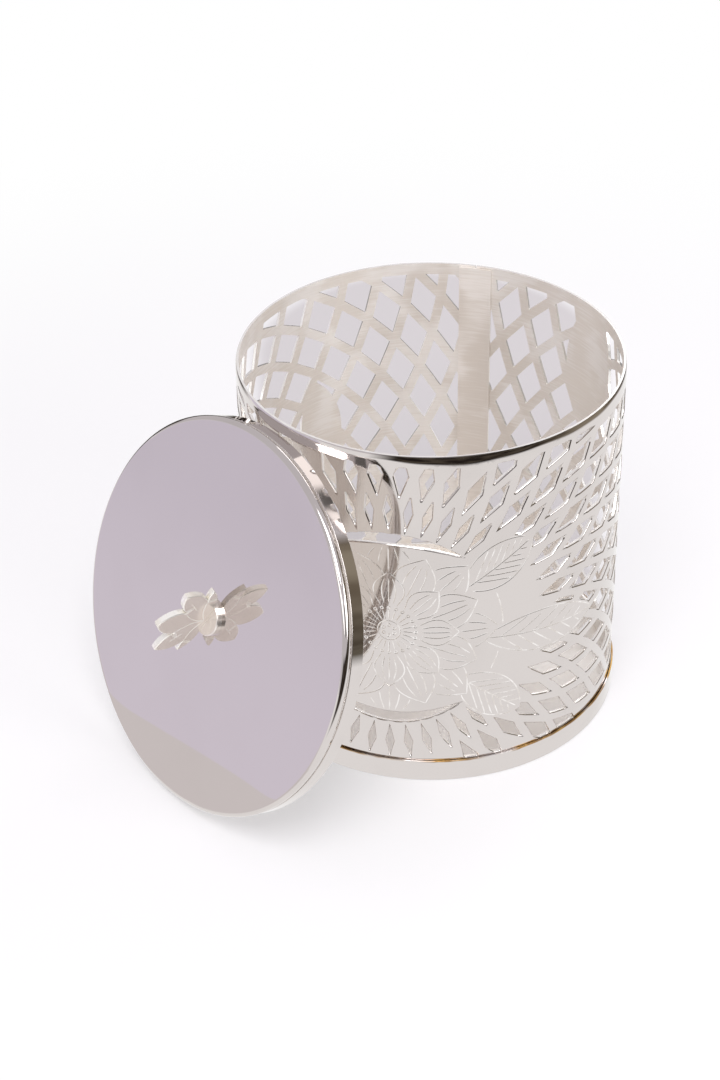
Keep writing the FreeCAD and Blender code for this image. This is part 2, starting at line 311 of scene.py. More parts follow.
sawn_edge, graved_line, finial_face, finial_edge, brass_fastener = [worked_metal(*row) for row in (
    # name, two colours, width of a spot, two roughnesses, relief, bareness
    # sawn_edge and finial_edge are near white and half matt, so edges look bright whatever they face:
    # painted highlight.
    ("sawn_edge", (0.96, 0.945, 0.92), (0.90, 0.87, 0.83), 0.003, 0.16, 0.26, 4e-6, 0.6),
    ("graved_line", (0.90, 0.87, 0.85), (0.72, 0.67, 0.63), 0.004, 0.16, 0.28, 5e-6, 0.9),
    ("finial_face", (0.90, 0.85, 0.80), (0.87, 0.815, 0.76), 0.006, 0.14, 0.20, 1e-6, 0.75),
    ("finial_edge", (0.98, 0.965, 0.92), (0.93, 0.89, 0.81), 0.003, 0.14, 0.22, 4e-6, 0.55),
    ("brass_fastener", brass, brass_shade, 0.0015, 0.25, 0.40, 1e-5, 1.0),
)]

# %% [markdown]
# ## From arrays to pieces
# Every new piece is a table of points and a table of faces. One helper puts them in a mesh,
# gives each corner its own normal, and hangs the piece on a body of the frame.

# %% Pieces
def new_object(name, points, face_tables, finishes):
    """A mesh object from points in millimetres and tables of faces."""
    mesh = bpy.data.meshes.new(name)
    faces = [face for table in face_tables for face in table.tolist()]
    mesh.from_pydata((points * MM).tolist(), [], faces)
    for finish in finishes:
        mesh.materials.append(finish)
    made = bpy.data.objects.new(name, mesh)
    scene.collection.objects.link(made)
    print(name, "has", len(points), "points and", len(faces), "faces")
    return made


def add_piece(name, points, face_tables, normals, finishes, body, slot, stands_for, finish_of_face=None):
    """A piece of the box or lid, with one normal for each corner of each face."""
    piece = new_object(name, points, face_tables, finishes)
    mesh = piece.data
    mesh.polygons.foreach_set("use_smooth", np.ones(len(mesh.polygons), bool))
    if finish_of_face is not None:
        mesh.polygons.foreach_set("material_index", finish_of_face.astype(np.int32))
    mesh.normals_split_custom_set(normals.tolist())
    mesh.update()
    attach(piece, body)
    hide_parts(stands_for)


def unit(vectors):
    """Vectors scaled to length 1."""
    return vectors / np.maximum(np.linalg.norm(vectors, axis=-1, keepdims=True), 1e-12)


def left_of(run):
    """Flat directions turned a quarter to the left."""
    return np.stack([-run[..., 1], run[..., 0]], axis=-1)


def crossed(one, two):
    """Area of the parallelogram on two flat directions, above 0 where the second is to the left."""
    return (left_of(one) * two).sum(-1)

# %% [markdown]
# ## The flat drawing of the wall
# The maker works on a flat sheet and rolls it last, so the drawing is flat too: `across` runs
# round the wall from the middle of the flower, and `height` up it, both in millimetres.
# Diamonds could be placed by hand, but a rule keeps them even: rings of crossings round the
# flower, alternate rings half a step on, and a diamond between each four crossings.

# %% Sizes of the lattice
wall_low, wall_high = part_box("wall_panel")
wall_radius = wall_high.x / MM
wall_top = wall_high.z / MM
wall_foot = wall_low.z / MM
wall_sheet = 1.0
band_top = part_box("base_band")[1].z / MM
motif_azimuth = math.radians(-52.3)
motif_height = 55.0
flower_middle = np.array([0.0, motif_height])
seam_azimuth = math.radians(125.2)
seam_gap = 0.3
ray_count = 46
first_ring, near_step, far_step = 41.5, 12.3, 5.4
lattice_strap = 3.0
foot_margin, rim_margin = 0.4, 3.8
lattice_bottom, lattice_top = band_top + foot_margin, wall_top - rim_margin
seam_margin = 2.5
smallest_area, smallest_width, least_triangle = 6.0, 1.5, 1e-9
first_ring_spread = math.radians(42.0)

half_turn = math.pi * wall_radius
seam_right = wall_radius * (seam_azimuth - motif_azimuth)
seam_left = seam_right - 2 * half_turn
print("the sheet is", round(2 * half_turn, 1), "mm long and", round(wall_top - wall_foot, 1), "mm high")

# %% Lattice of diamonds
def on_sheet(distance, turn):
    """Sheet point at a distance from the flower's middle, and a turn clockwise from straight up."""
    return np.stack([distance * np.sin(turn), motif_height + distance * np.cos(turn)], axis=-1)


def drawn_in(corners, distance):
    """Polygons with each edge moved inward: neighbouring moved edges are met by Cramer's rule."""
    run = unit(np.roll(corners, -1, axis=1) - corners)
    inward = left_of(run)
    offset = (inward * corners).sum(-1) + distance
    before, before_offset = np.roll(inward, 1, axis=1), np.roll(offset, 1, axis=1)
    scale = crossed(before, inward)
    x = (before_offset * inward[..., 1] - before[..., 1] * offset) / scale
    y = (before[..., 0] * offset - before_offset * inward[..., 0]) / scale
    met = np.stack([x, y], axis=-1)
    room = np.einsum("cek,cpk->cep", inward, met) - offset[..., None]
    return met, (room > -distance / 2).all(axis=(1, 2))


ring_radii = [first_ring - near_step, first_ring]
while ring_radii[-1] < math.hypot(half_turn, wall_top):
    gone = min(1.0, max(0.0, (ring_radii[-1] - first_ring) / (half_turn - first_ring)))
    ring_radii.append(ring_radii[-1] + near_step + (far_step - near_step) * gone)
ring_radii = np.array(ring_radii)

rows = np.arange(1, len(ring_radii) - 1)[:, None]
half_pitch = math.pi / ray_count
turns = (2 * np.arange(ray_count)[None, :] + (rows - 1) % 2) * half_pitch
from_upright = np.abs((turns + math.pi / 2) % math.pi - math.pi / 2)
wanted = (rows > 1) | (from_upright <= first_ring_spread)
diamonds = np.stack([
    on_sheet(ring_radii[rows + 1], turns),
    on_sheet(ring_radii[rows], turns - half_pitch),
    on_sheet(ring_radii[rows - 1], turns),
    on_sheet(ring_radii[rows], turns + half_pitch),
], axis=2)[wanted]
edge_round = 0.45
cells, whole = drawn_in(diamonds, lattice_strap / 2)
cell_surrounds = drawn_in(diamonds, lattice_strap / 2 - edge_round)[0]
on_wall = (
    (cells[..., 0].max(1) > seam_left) & (cells[..., 0].min(1) < seam_right)
    & (cells[..., 1].max(1) > lattice_bottom) & (cells[..., 1].min(1) < lattice_top)
)
cells, cell_surrounds = cells[whole & on_wall], cell_surrounds[whole & on_wall]
print("diamonds on the sheet:", len(cells))

# %% [markdown]
# ## Leaves and crescents
# Leaves are left standing in the lattice as blanks, and two crescents are cut above and below
# the flower. Both are bounded by arcs: at a distance u from the middle of a chord, an arc of
# rise h stands sqrt(rho^2 - u^2) - (rho - h) off it, where rho is the arc's radius.

# %% Arcs and the lines beside them
def rise_of_arc(u, chord, rise):
    """Height of an arc above its chord at u from the chord's middle; below it for a negative rise."""
    height = abs(rise)
    rho = (chord**2 / 4 + height**2) / (2 * height)
    return np.sign(rise) * (np.sqrt(np.maximum(rho**2 - u**2, 0)) - (rho - height))


def chord_of(start, end):
    """Middle, length, direction and left side of the straight line between two points."""
    length = np.linalg.norm(end - start)
    along = (end - start) / length
    return (start + end) / 2, length, along, left_of(along)


def arc(start, end, rise, count):
    """Arc between two points that stands off its chord by rise, to the left."""
    middle, chord, along, left = chord_of(start, end)
    u = np.linspace(-chord / 2, chord / 2, count)
    return middle + u[:, None] * along + rise_of_arc(u, chord, rise)[:, None] * left


def lens(root, tip, left_rise, right_rise, count=25):
    """Anticlockwise outline between two arcs, from root to tip and back."""
    right_side, left_side = arc(root, tip, -right_rise, count), arc(root, tip, left_rise, count)
    return np.concatenate([right_side[:-1], left_side[:0:-1]])


def side_lines(stroke, half_width):
    """The two lines beside a stroke, left and right, square to it at each point."""
    run = unit(np.gradient(stroke, axis=0))
    aside = left_of(run) * half_width
    return stroke + aside, stroke - aside


def moved_out(outline, distance):
    """An anticlockwise outline moved outward by a distance, square to itself at each point."""
    around = np.concatenate([outline[-1:], outline, outline[:1]])
    return side_lines(around, distance)[1][1:-1]

# %% Leaves and crescents
leaf_root = 26.0
leaf_reaches = np.array([52.0, 71.0, 52.0])
leaf_turns = np.radians([56.0, 97.0, 129.0])
leaf_half_width = 8.0
back_leaves = (
    # across, height, length, half width, lean from upright
    (133.0, 94.0, 50.0, 12.0, -7.0),
    (-131.0, 62.0, 36.0, 8.0, 7.0),
)
crescent_radius, crescent_depth, crescent_half_turn = 33.8, 3.6, math.radians(40.0)

leaf_shapes = [
    (on_sheet(leaf_root, side * turn), on_sheet(reach, side * turn), leaf_half_width)
    for side in (1, -1) for reach, turn in zip(leaf_reaches, leaf_turns)]
for across, height, length, half_width, lean in back_leaves:
    half = length / 2 * np.array([math.sin(math.radians(lean)), math.cos(math.radians(lean))])
    middle = np.array([across, height])
    leaf_shapes.append((middle - half, middle + half, half_width))
leaves = [lens(root, tip, half_width, half_width) for root, tip, half_width in leaf_shapes]

crescents = []
outer_rise = crescent_radius * (1 - math.cos(crescent_half_turn))
for middle_turn in (0, math.pi):
    first, last = [on_sheet(crescent_radius, middle_turn + side * crescent_half_turn) for side in (-1, 1)]
    crescents.append(lens(first, last, outer_rise, crescent_depth - outer_rise))
print("leaves:", len(leaves), "crescents:", len(crescents))

# %% [markdown]
# ## The engraved lotus
# A lotus rosette is a traditional ornament: rows of pointed petals round a seed pod. Each petal's
# half width is w sin(pi t^1.3) at a share t of its length. Lines that would run under a nearer
# petal aren't engraved, so every point asks whether it lies inside one of the petals in front.

# %% Petals
petal_rows = (
    # count, first turn, distance of the root, length, half width
    (8, 0.0, 5.0, 15.5, 4.6),
    (8, 22.5, 7.0, 21.0, 6.2),
    (8, 0.0, 9.0, 23.5, 6.6),
)
pod_radius = 3.4
stamen_reach, stamen_margin = 8.0, 0.6
line_step = 0.9


def petal_half_width(t, half_width):
    """Half width of a petal at a share t of its length from the root."""
    return half_width * np.sin(math.pi * np.clip(t, 0, 1) ** 1.3)


def petal_axes(turn):
    """Directions along a petal and to its right."""
    along = np.array([math.sin(turn), math.cos(turn)])
    return along, -left_of(along)


def in_petal(points, petal):
    """True where a point lies inside a petal."""
    turn, root, length, half_width = petal
    along, aside = petal_axes(turn)
    u = (points - flower_middle) @ along - root
    v = (points - flower_middle) @ aside
    return (u > 0) & (u < length) & (np.abs(v) < petal_half_width(u / length, half_width))


def under(points, nearer):
    """True where a point lies inside one of the nearer petals."""
    return np.any([in_petal(points, petal) for petal in nearer], axis=0)


def petal_line(petal, share, start=0.0, end=1.0):
    """Line along a petal that keeps a share of the half width from its axis."""
    turn, root, length, half_width = petal
    along, aside = petal_axes(turn)
    t = np.linspace(start, end, max(4, int(length * (end - start) / line_step)))
    v = share * petal_half_width(t, half_width)
    return (root + length * t)[:, None] * along + v[:, None] * aside + flower_middle

# %% Strokes of the petals
petals = [
    (math.radians(first_turn + 360 / count * k), root, length, half_width)
    for count, first_turn, root, length, half_width in petal_rows for k in range(count)]

lines = []
for place, petal in enumerate(petals):
    strokes = [petal_line(petal, share) for share in (-1, 1)]
    strokes += [petal_line(petal, share, 0.3, 0.86) for share in (-0.45, 0.0, 0.45)]
    for stroke in strokes:
        in_stamens = np.linalg.norm(stroke - flower_middle, axis=1) < stamen_reach + stamen_margin
        lines.append((stroke, ~(in_stamens | under(stroke, petals[:place]))))
print("petals:", len(petals), "strokes:", len(lines))

# %% [markdown]
# The pod has a ring of seeds, stamens stand round it, and the leaves get an inner outline, a
# midrib and side veins. The roundel's border stops where a petal or a leaf covers it.

# %% Pod and stamens
def ring_line(centre, radius, step=line_step):
    """Closed circle of points."""
    turn = np.linspace(0, 2 * math.pi, max(8, int(2 * math.pi * radius / step)) + 1)
    return centre + radius * np.stack([np.sin(turn), np.cos(turn)], axis=-1)


def all_shown(stroke):
    """A stroke with nothing in front of it."""
    return stroke, np.ones(len(stroke), bool)


seed_turns, stamen_turns = np.radians(np.arange(0, 360, 60)), np.radians(np.arange(0, 360, 15))
seed_ring_share, seed_radius, dot_radius, dot_step = 0.55, 0.5, 0.45, 0.45
stamen_start, stamen_end = pod_radius + 0.5, stamen_reach - 0.7
lines.append(all_shown(ring_line(flower_middle, pod_radius)))
for turn in seed_turns:
    lines.append(all_shown(ring_line(on_sheet(pod_radius * seed_ring_share, turn), seed_radius, dot_step)))
for turn in stamen_turns:
    lines.append(all_shown(on_sheet(np.linspace(stamen_start, stamen_end, 5), turn)))
    lines.append(all_shown(ring_line(on_sheet(stamen_reach, turn), dot_radius, dot_step)))

# %% Leaf veins and border
def in_outline(points, outline):
    """True where a point lies in an outline: a line to its right crosses it an odd number of times."""
    following = np.roll(outline, -1, axis=0)
    x, y = points[:, :1], points[:, 1:]
    spans = (outline[:, 1] > y) != (following[:, 1] > y)
    rise = np.where(following[:, 1] == outline[:, 1], 1.0, following[:, 1] - outline[:, 1])
    meets = outline[:, 0] + (y - outline[:, 1]) / rise * (following[:, 0] - outline[:, 0])
    return (spans & (x < meets)).sum(1) % 2 == 1


leaf_inset = 1.0
vein_shares, vein_slope, vein_reach = np.linspace(-0.34, 0.26, 6), 0.72, 1.1
for root, tip, half_width in leaf_shapes:
    middle, chord, along, left = chord_of(root, tip)
    u = np.linspace(-chord / 2 + 2 * leaf_inset, chord / 2 - 2 * leaf_inset, int(chord / line_step))
    spine = middle + u[:, None] * along
    edge = np.maximum(rise_of_arc(u, chord, half_width) - leaf_inset, 0)
    out = np.linspace(0, half_width * vein_reach, 9)
    strokes = [spine]
    for hand in (1, -1):
        strokes.append(spine + hand * edge[:, None] * left)
        for start in vein_shares * chord:
            vein = middle + (start + out)[:, None] * along + hand * (out * vein_slope)[:, None] * left
            kept = out * vein_slope < rise_of_arc(start + out, chord, half_width) - leaf_inset
            strokes.append(vein[kept])
    lines += [(stroke, ~under(stroke, petals)) for stroke in strokes if len(stroke) > 2]

border = ring_line(flower_middle, crescent_radius)
covered = under(border, petals) | np.any([in_outline(border, leaf) for leaf in leaves], axis=0)
lines.append((border, ~covered))
stroke_gap = 0.9
for crescent in crescents:
    cover = moved_out(crescent, stroke_gap)
    lines = [(stroke, shown & ~in_outline(stroke, cover)) for stroke, shown in lines]
print("engraved strokes in all:", len(lines))

# %% [markdown]
# ## Cutting and engraving the sheet
# A sheet with hundreds of openings is awkward to mesh by hand. Constrained Delaunay
# triangulation does it in one step: it takes points, lines and outlines, returns triangles that
# respect them, and says in which outlines each triangle lies. Triangles in a diamond are thrown
# away. Each engraved line goes in three times, as its middle and its two sides, so that its
# middle can be pressed in to make a real groove.

# %% A flat drawing
class Drawing:
    """Points, lines and outlines of one flat sheet."""

    def __init__(self):
        self.points, self.edges, self.outlines = [], [], []
        self.count = 0

    def take(self, points):
        """Adds points and returns their numbers."""
        self.points.append(points)
        numbers = np.arange(self.count, self.count + len(points))
        self.count += len(points)
        return numbers

    def line(self, points, shown):
        """Adds the runs between neighbouring shown points."""
        joined = shown[:-1] & shown[1:]
        used = np.append(joined, False) | np.append(False, joined)
        numbers = self.count + np.cumsum(used) - 1
        self.take(points[used])
        self.edges.append(np.stack([numbers[:-1], numbers[1:]], axis=1)[joined])

    def groove(self, stroke, shown, half_width):
        """Adds an engraved line three times: its middle and its two sides."""
        for run in (stroke, *side_lines(stroke, half_width)):
            self.line(run, shown)

    def outline(self, points):
        """Adds a closed outline and returns its number."""
        self.outlines.append(self.take(points).tolist())
        return len(self.outlines) - 1

    def triangles(self, merge=1e-5):
        """Points and triangles; the pairs (owner, home) say which triangle lies in which outline."""
        points = [Vector(p) for p in np.concatenate(self.points).tolist()]
        edges = np.concatenate(self.edges).tolist()
        made, _, faces, _, _, homes = delaunay_2d_cdt(points, edges, self.outlines, 0, merge)
        self.owner = np.repeat(np.arange(len(homes)), [len(h) for h in homes])
        self.home = np.array([h for several in homes for h in several], int)
        self.face_count = len(faces)
        return np.array([tuple(p) for p in made]), np.array(faces)

    def lies_in(self, outlines):
        """For each triangle, whether it lies in one of the outlines."""
        found = np.zeros(self.face_count, bool)
        found[self.owner[np.isin(self.home, outlines)]] = True
        return found

# %% Outlines and grids
def rectangle(left, low, right, high):
    """Four corners, anticlockwise from the lower left."""
    return np.array([(left, low), (right, low), (right, high), (left, high)], float)


def divided(corners, step):
    """A closed outline with points added along its edges, at most a step apart."""
    following = np.roll(corners, -1, axis=0)
    counts = np.maximum(1, np.ceil(np.linalg.norm(following - corners, axis=1) / step)).astype(int)
    parts = [a + (b - a) * (np.arange(n) / n)[:, None] for a, b, n in zip(corners, following, counts)]
    return np.concatenate(parts)


def crossings(across, heights):
    """Points of a grid on the sheet."""
    return np.stack(np.meshgrid(across, heights), axis=-1).reshape(-1, 2)

# %% Depth of the grooves
def distance_to_runs(points, starts, ends, batch=1500):
    """Distance from each point to the nearest of many straight runs, worked out in batches."""
    run = ends - starts
    length = (run**2).sum(1)
    nearest = []
    for first in range(0, len(points), batch):
        gap = points[first:first + batch, None, :] - starts
        share = np.clip((gap * run).sum(2) / length, 0, 1)
        nearest.append(np.linalg.norm(gap - share[..., None] * run, axis=2).min(1))
    return np.concatenate(nearest)


def full_runs(stroke, shown):
    """Runs of a stroke whose neighbours are shown too, so that a groove thins out at its ends."""
    joined = shown[:-1] & shown[1:]
    before, after = np.roll(joined, 1), np.roll(joined, -1)
    if np.linalg.norm(stroke[0] - stroke[-1]) > line_step / 100:
        before[0] = after[-1] = False
    return joined & before & after


def groove_depth(points, strokes, half_width, depth):
    """Depth of the V-shaped grooves at each point: full on a stroke, nothing half a width off."""
    runs = [np.stack([s[:-1], s[1:]], axis=1)[full_runs(s, shown)] for s, shown in strokes]
    starts, ends = np.concatenate(runs).swapaxes(0, 1)
    low, high = starts.min(0) - half_width, starts.max(0) + half_width
    near = ((points >= low) & (points <= high)).all(1)
    found = np.zeros(len(points))
    found[near] = depth * np.clip(1 - distance_to_runs(points[near], starts, ends) / half_width, 0, 1)
    return found

# %% [markdown]
# Outlines go in first, then the grooves, and then a ring round every opening, where the rounding
# of its edge begins. A loose grid keeps the triangles small enough to follow the wall's curve,
# and its rows are closer under the rim, which is drawn in.

# %% Draw on the wall's sheet
edge_step, rim_step, border_step = 2.4, 0.5, 1.6
grid_across, grid_up, grid_margin, rim_height = 3.0, 6.0, 1.0, 4.0
rim_drops = np.array([0.3, 0.6, 0.9, 1.2, 1.6, 2.0, 2.4, 2.8, 3.2])
groove_half_width, groove_cut = 0.20, 0.05
sheet_left, sheet_right = seam_left + seam_gap / 2, seam_right - seam_gap / 2
sheet_corners = rectangle(sheet_left, wall_foot, sheet_right, wall_top)
field_corners = rectangle(seam_left + seam_margin, lattice_bottom, seam_right - seam_margin, lattice_top)


def in_steps(outline):
    """An outline with points added, closer together where it reaches the rim."""
    return divided(outline, rim_step if outline[:, 1].max() > lattice_top else edge_step)


sheet = Drawing()
whole_sheet = sheet.outline(divided(sheet_corners, border_step))
field = sheet.outline(divided(field_corners, edge_step))
leaf_numbers = [sheet.outline(leaf) for leaf in leaves]
crescent_numbers = [sheet.outline(crescent) for crescent in crescents]
first_cell = len(sheet.outlines)
for cell in cells:
    sheet.outline(in_steps(cell))
for stroke, shown in lines:
    sheet.groove(stroke, shown, groove_half_width)
surrounds = [*cell_surrounds, field_corners + rectangle(-edge_round, -edge_round, edge_round, edge_round)]
surrounds += [moved_out(crescent, edge_round) for crescent in crescents]
surrounds += [moved_out(leaf, -edge_round) for leaf in leaves]
for surround in surrounds:
    ring = in_steps(surround)
    sheet.line(*all_shown(np.concatenate([ring, ring[:1]])))
grid = crossings(
    np.arange(sheet_left + grid_across / 2, sheet_right - grid_margin, grid_across),
    np.arange(wall_foot + grid_up / 2, wall_top - rim_height, grid_up))
run = np.roll(cell_surrounds, -1, axis=1) - cell_surrounds
gap = grid[:, None, None, :] - cell_surrounds
in_surround = (crossed(run, gap) > 0).all(2).any(1)
sheet.take(grid[~in_surround])
rim_across = np.arange(sheet_left + border_step / 2, sheet_right - rim_step, border_step)
sheet.take(crossings(rim_across, wall_top - rim_drops))

# %% Triangles of the sheet
flat, triangles = sheet.triangles()
is_cell = sheet.home >= first_cell
cell_of = np.full(len(triangles), -1)
cell_of[sheet.owner[is_cell]] = sheet.home[is_cell] - first_cell
corners = flat[triangles]
area = crossed(corners[:, 1] - corners[:, 0], corners[:, 2] - corners[:, 0]) / 2
print("triangles of the whole sheet:", len(triangles))

# %% [markdown]
# A sliver isn't worth sawing. What a leaf or the edge of the field leaves of a diamond is cut
# only where it is large and wide enough, so the triangles' areas are added up by diamond.

# %% Keep what the saw leaves
def worth_cutting(chosen):
    """For each diamond, whether its chosen triangles are large and wide enough to be cut."""
    number = cell_of[chosen]
    total = np.bincount(number, weights=area[chosen], minlength=len(cells))
    low, high = np.full((len(cells), 2), np.inf), np.full((len(cells), 2), -np.inf)
    np.minimum.at(low, number, corners[chosen].min(1))
    np.maximum.at(high, number, corners[chosen].max(1))
    return (total > smallest_area) & ((high - low).min(1) > smallest_width)


in_cell = (cell_of >= 0) & sheet.lies_in([field])
in_cell[in_cell] = worth_cutting(in_cell)[cell_of[in_cell]]
in_cell &= ~sheet.lies_in(leaf_numbers)
in_cell[in_cell] = worth_cutting(in_cell)[cell_of[in_cell]]
cut = in_cell | sheet.lies_in(crescent_numbers)
kept = sheet.lies_in([whole_sheet]) & ~cut & (area > least_triangle)
used, triangles = np.unique(triangles[kept], return_inverse=True)
flat, triangles = flat[used], triangles.reshape(-1, 3)
print("openings:", len(np.unique(cell_of[in_cell])) + len(crescents), "triangles kept:", len(triangles))

# %% [markdown]
# ## Rolling the sheet
# Rolling turns `across` into an angle. The outer face gets its grooves, its openings get edges
# that polishing has rounded, and its last few millimetres under the rim are drawn in a little.
# The inner face is the same triangles turned over, and a strip of four-sided faces closes every
# cut edge: a cut edge is a triangle's edge that no other triangle shares.

# %% Rolling
edge_drop, edge_tilt = 0.26, math.radians(62)
sharpest_turn, border_reach = 0.35, 0.01
rim_roll_height, rim_roll_slope = 1.7, 0.36
broad_roll_height, broad_roll_azimuth, broad_roll_spread = 1.3, math.radians(-33), math.radians(17)


def rim_roll(points):
    """How far the rim is drawn in, and the tilt of its face: a parabola under the top edge,
    taller by a bell curve where the burnisher dwelt."""
    azimuth = motif_azimuth + points[:, 0] / wall_radius
    bell = np.exp(-(((azimuth - broad_roll_azimuth) / broad_roll_spread) ** 2))
    wobble = 0.2 * np.sin(9 * azimuth) + 0.12 * np.sin(23 * azimuth + 1)
    tall = rim_roll_height + broad_roll_height * bell + wobble
    share = np.clip((points[:, 1] - (wall_top - tall)) / tall, 0, 1)
    return rim_roll_slope * tall / 2 * share**2, np.arctan(rim_roll_slope * share)


def rolled(points, radius):
    """Sheet points carried round the axis at a radius."""
    azimuth = motif_azimuth + points[:, 0] / wall_radius
    return np.stack([radius * np.sin(azimuth), -radius * np.cos(azimuth), points[:, 1]], axis=1)


def both_faces(front, count):
    """A sheet's face, the same turned over and count points on, and a strip along each edge that
    no other triangle shares."""
    edges = np.concatenate([front[:, [0, 1]], front[:, [1, 2]], front[:, [2, 0]]])
    size = front.max() + 1
    start, end = edges[~np.isin(edges @ [size, 1], edges @ [1, size])].T
    return front, front[:, ::-1] + count, np.stack([start, start + count, end + count, end], axis=1)


def flat_normals(points, faces):
    """One normal for each face, from its first three corners, repeated for all its corners."""
    a, b, c = (points[faces[:, k]] for k in range(3))
    return np.repeat(unit(np.cross(b - a, c - a)), faces.shape[1], axis=0)

# %% Which way the openings lie
depth = groove_depth(flat, lines, groove_half_width, groove_cut)
draw_in, tilt = rim_roll(flat)
wall_faces = both_faces(triangles, len(flat))
rim = wall_faces[2][:, [0, 3]]
toward_opening = np.zeros((len(flat), 2))
run = unit(flat[rim[:, 1]] - flat[rim[:, 0]])
for end in (0, 1):
    np.add.at(toward_opening, rim[:, end], -left_of(run))
low, high = sheet_corners[0] + border_reach, sheet_corners[2] - border_reach
toward_opening[((flat < low) | (flat > high)).any(1)] = 0
toward_opening[np.linalg.norm(toward_opening, axis=1) < sharpest_turn] = 0
toward_opening = unit(toward_opening)
at_opening = np.linalg.norm(toward_opening, axis=1) > 0.5
print("points on rounded edges:", at_opening.sum(), "points in grooves:", (depth > 0).sum())

# %% Roll the wall
outer = rolled(flat, wall_radius - depth - draw_in - edge_drop * at_opening)
inner = rolled(flat, np.full(len(flat), wall_radius - wall_sheet))
wall_points = np.concatenate([outer, inner])
outward = unit(rolled(flat, np.ones(len(flat))) * [1, 1, 0])
rightward = np.stack([-outward[:, 1], outward[:, 0], 0 * tilt], axis=1)
facing = outward * np.cos(tilt)[:, None] + skyward * np.sin(tilt)[:, None]
into_opening = toward_opening[:, :1] * rightward + toward_opening[:, 1:] * skyward
facing[at_opening] = (math.cos(edge_tilt) * outward + math.sin(edge_tilt) * into_opening)[at_opening]

grooved = depth[triangles].max(1) > groove_cut / 3
outer_normals, cut_normals = [flat_normals(wall_points, wall_faces[k]) for k in (0, 2)]
smooth = np.repeat(~grooved, 3)
outer_normals[smooth] = facing[triangles].reshape(-1, 3)[smooth]
inner_normals = -outward[triangles[:, ::-1]].reshape(-1, 3)
wall_normals = np.concatenate([outer_normals, inner_normals, cut_normals])
wall_finish = np.concatenate([
    np.where(grooved, 3, 0), np.full(len(wall_faces[1]), 1), np.full(len(wall_faces[2]), 2)])
wall_finishes = (wall_polish, inside_satin, sawn_edge, graved_line)
add_piece("wall", wall_points, wall_faces, wall_normals, wall_finishes,
          "box", "polished_plate", "wall_panel", wall_finish)

# %% [markdown]
# ## Turned pieces
# The foot band, the lid's bead and skirt and the finial's collar are all spun round an axis.
# Their profile has soft corners, because a real edge is never sharp: each corner becomes a
# Bezier arc, (1-t)^2 A + 2t(1-t) C + t^2 B, whose slope also gives the exact normal.

# %% Profiles and turning
def soft_profile(corners, cut, steps=5):
    """Closed anticlockwise profile (radius, height) with each corner rounded off, and its normals."""
    corners = np.asarray(corners, float)
    back = unit(np.roll(corners, 1, axis=0) - corners) * cut
    ahead = unit(np.roll(corners, -1, axis=0) - corners) * cut
    t = np.linspace(0, 1, steps)[None, :, None]
    points = corners[:, None] + (1 - t) ** 2 * back[:, None] + t**2 * ahead[:, None]
    slope = -2 * (1 - t) * back[:, None] + 2 * t * ahead[:, None]
    normals = unit(-left_of(slope))
    return points.reshape(-1, 2), normals.reshape(-1, 2)


def turned(profile, profile_normals, steps=240):
    """Profile carried round the axis: points, a table of four-sided faces, and corner normals."""
    turn = np.linspace(0, 2 * math.pi, steps, endpoint=False)
    out = np.stack([np.cos(turn), np.sin(turn), 0 * turn], axis=1)
    points = profile[:, None, :1] * out + profile[:, None, 1:] * skyward
    normals = profile_normals[:, None, :1] * out + profile_normals[:, None, 1:] * skyward
    number = np.arange(len(profile) * steps).reshape(len(profile), steps)
    after = np.roll(number, -1, axis=0)
    faces = np.stack([number, np.roll(number, -1, 1), np.roll(after, -1, 1), after], axis=-1).reshape(-1, 4)
    return points.reshape(-1, 3), [faces], normals.reshape(-1, 3)[faces.ravel()]

# %% [markdown]
# ## Foot band
# A plain polished band goes round the foot. Where it was soldered to the wall the plating is
# thin, and a golden line of brass shows along its top edge. The line is a mask on height.

# %% Foot band
band_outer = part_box("base_band")[1].x / MM
band_clearance = 0.1
band_inner = wall_radius + band_clearance


def banded_plate(name, line_height):
    """Polished plate that turns to bare brass above a height, in metres, with a ragged edge."""
    material, g = new_finish(name)
    place = g.place()
    height = g.node("ShaderNodeSeparateXYZ", {}, {0: place}, "Z")
    ragged = height + (g.noise(place, 180.0) - 0.5) * 0.0006
    patchy = g.ease(g.noise(place, 70.0), 0.40, 0.56)
    worn = g.ease(ragged, line_height - 0.00025, line_height + 0.00015) * patchy
    tone = g.ease(g.noise(place, 120.0), 0.35, 0.6)
    clouds, plate = plated(g, place)
    g.surface(
        Base_Color=g.blend(worn, plate, g.blend(tone, brass, brass_shade)),
        Metallic=1.0,
        Roughness=0.05 + 0.05 * clouds + 0.2 * worn,
        Normal=g.bump(g.noise(place, 45.0, 1.0), 0.00004),
    )
    return material


brass_line, band_corner = 0.35, 0.22
band_polish = banded_plate("band_polish", (band_top - brass_line) * MM)
band_profile = soft_profile(rectangle(band_inner, 0, band_outer, band_top), band_corner)
add_piece("foot_band", *turned(*band_profile), (band_polish,), "box", "polished_plate", "base_band")

# %% [markdown]
# ## The lid's own frame
# Lid pieces are easiest to make lying flat with the face at height 0. Then they lean: the
# plane turns from level to its lean, and its lower edge stands on the floor while the upper
# edge meets the wall.

# %% Leaning the lid
lid_lean = math.radians(19.1)
lid_depth, lean_gap = 7.1, 0.3
skirt_clearance, skirt_sheet, disc_sheet = 0.25, 0.5, 1.0
skirt_inner = wall_radius + skirt_clearance
skirt_outer = skirt_inner + skirt_sheet
bead_diameter, bead_slack = 2.8, 0.02
lid_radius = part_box("lid_bead")[1].y / MM - bead_slack
disc_radius = lid_radius - bead_diameter / 2

